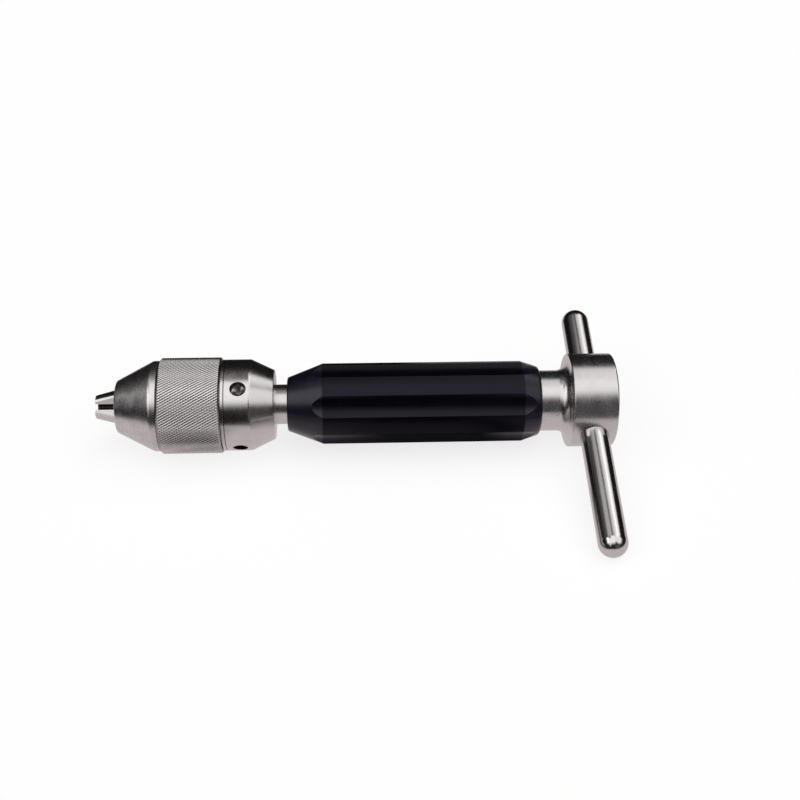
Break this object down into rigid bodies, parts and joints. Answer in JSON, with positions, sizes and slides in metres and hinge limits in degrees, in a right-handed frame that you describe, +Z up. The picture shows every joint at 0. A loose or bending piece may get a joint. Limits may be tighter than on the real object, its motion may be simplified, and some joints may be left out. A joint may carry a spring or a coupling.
{
  "type": "surgical pin chuck",
  "caption": "Hand pin chuck with knurled sleeve, sliding jaws, fluted black grip and a sliding round-ended T-bar through a thick tail disc.",
  "frame": {"origin": "on the chuck's axis, 1.1 mm in front of the nose face", "axes": "+X along the chuck's axis towards the T-bar, +Z up with the tool lying on its side, the long end of the T-bar towards -Y"},
  "size_m": [0.181, 0.1041, 0.0336],
  "materials": {
    "nose_steel": "satin turned",
    "jaw_steel": "ground",
    "knurl_steel": "satin, fine diamond knurl",
    "collar_steel": "satin turned",
    "spindle_steel": "satin turned",
    "hub_steel": "satin turned",
    "bar_steel": "polished",
    "grip_black": "satin",
    "nut_steel": "hardened, ground",
    "bronze": "turned"
  },
  "bodies": {
    "handle": {"chuck_core": "nose_steel", "thrust_half_a": "bronze", "thrust_half_b": "bronze", "stop_ring": "collar_steel", "rear_collar": "collar_steel", "key_pin": "nut_steel", "spindle": "spindle_steel", "grip": "grip_black", "grip_dowel_a": "nut_steel", "grip_dowel_b": "nut_steel", "hub": "hub_steel", "detent_ball": "nut_steel", "detent_spring": "nut_steel", "detent_screw": "nut_steel"},
    "sleeve": {"knurled_sleeve": "knurl_steel", "nut_half_a": "nut_steel", "nut_half_b": "nut_steel"},
    "jaw_1": {"jaw_1": "jaw_steel"},
    "jaw_2": {"jaw_2": "jaw_steel"},
    "jaw_3": {"jaw_3": "jaw_steel"},
    "t_bar": {"t_bar": "bar_steel"}
  },
  "joints": [
    {"name": "sleeve_turn", "type": "hinge", "parent": "handle", "child": "sleeve", "pos_m": [0.027, 0, 0], "axis": [1, 0, 0], "range_deg": [-1152, 777]},
    {"name": "jaw_1_slide", "type": "slide", "parent": "handle", "child": "jaw_1", "axis": [-0.9816, -0.0331, -0.1879], "range_m": [-0.008, 0.0054]},
    {"name": "jaw_2_slide", "type": "slide", "parent": "handle", "child": "jaw_2", "axis": [-0.9816, 0.1793, 0.0653], "range_m": [-0.008, 0.0054]},
    {"name": "jaw_3_slide", "type": "slide", "parent": "handle", "child": "jaw_3", "axis": [-0.9816, -0.1462, 0.1227], "range_m": [-0.008, 0.0054]},
    {"name": "t_bar_slide", "type": "slide", "parent": "handle", "child": "t_bar", "axis": [0, -0.9806, -0.1959], "range_m": [-0.0414, 0.0186]}
  ],
  "couplings": [
    {"joint": "jaw_1_slide", "follows": "sleeve_turn", "m_per_rad": 0.00039789},
    {"joint": "jaw_2_slide", "follows": "sleeve_turn", "m_per_rad": 0.00039789},
    {"joint": "jaw_3_slide", "follows": "sleeve_turn", "m_per_rad": 0.00039789}
  ]
}
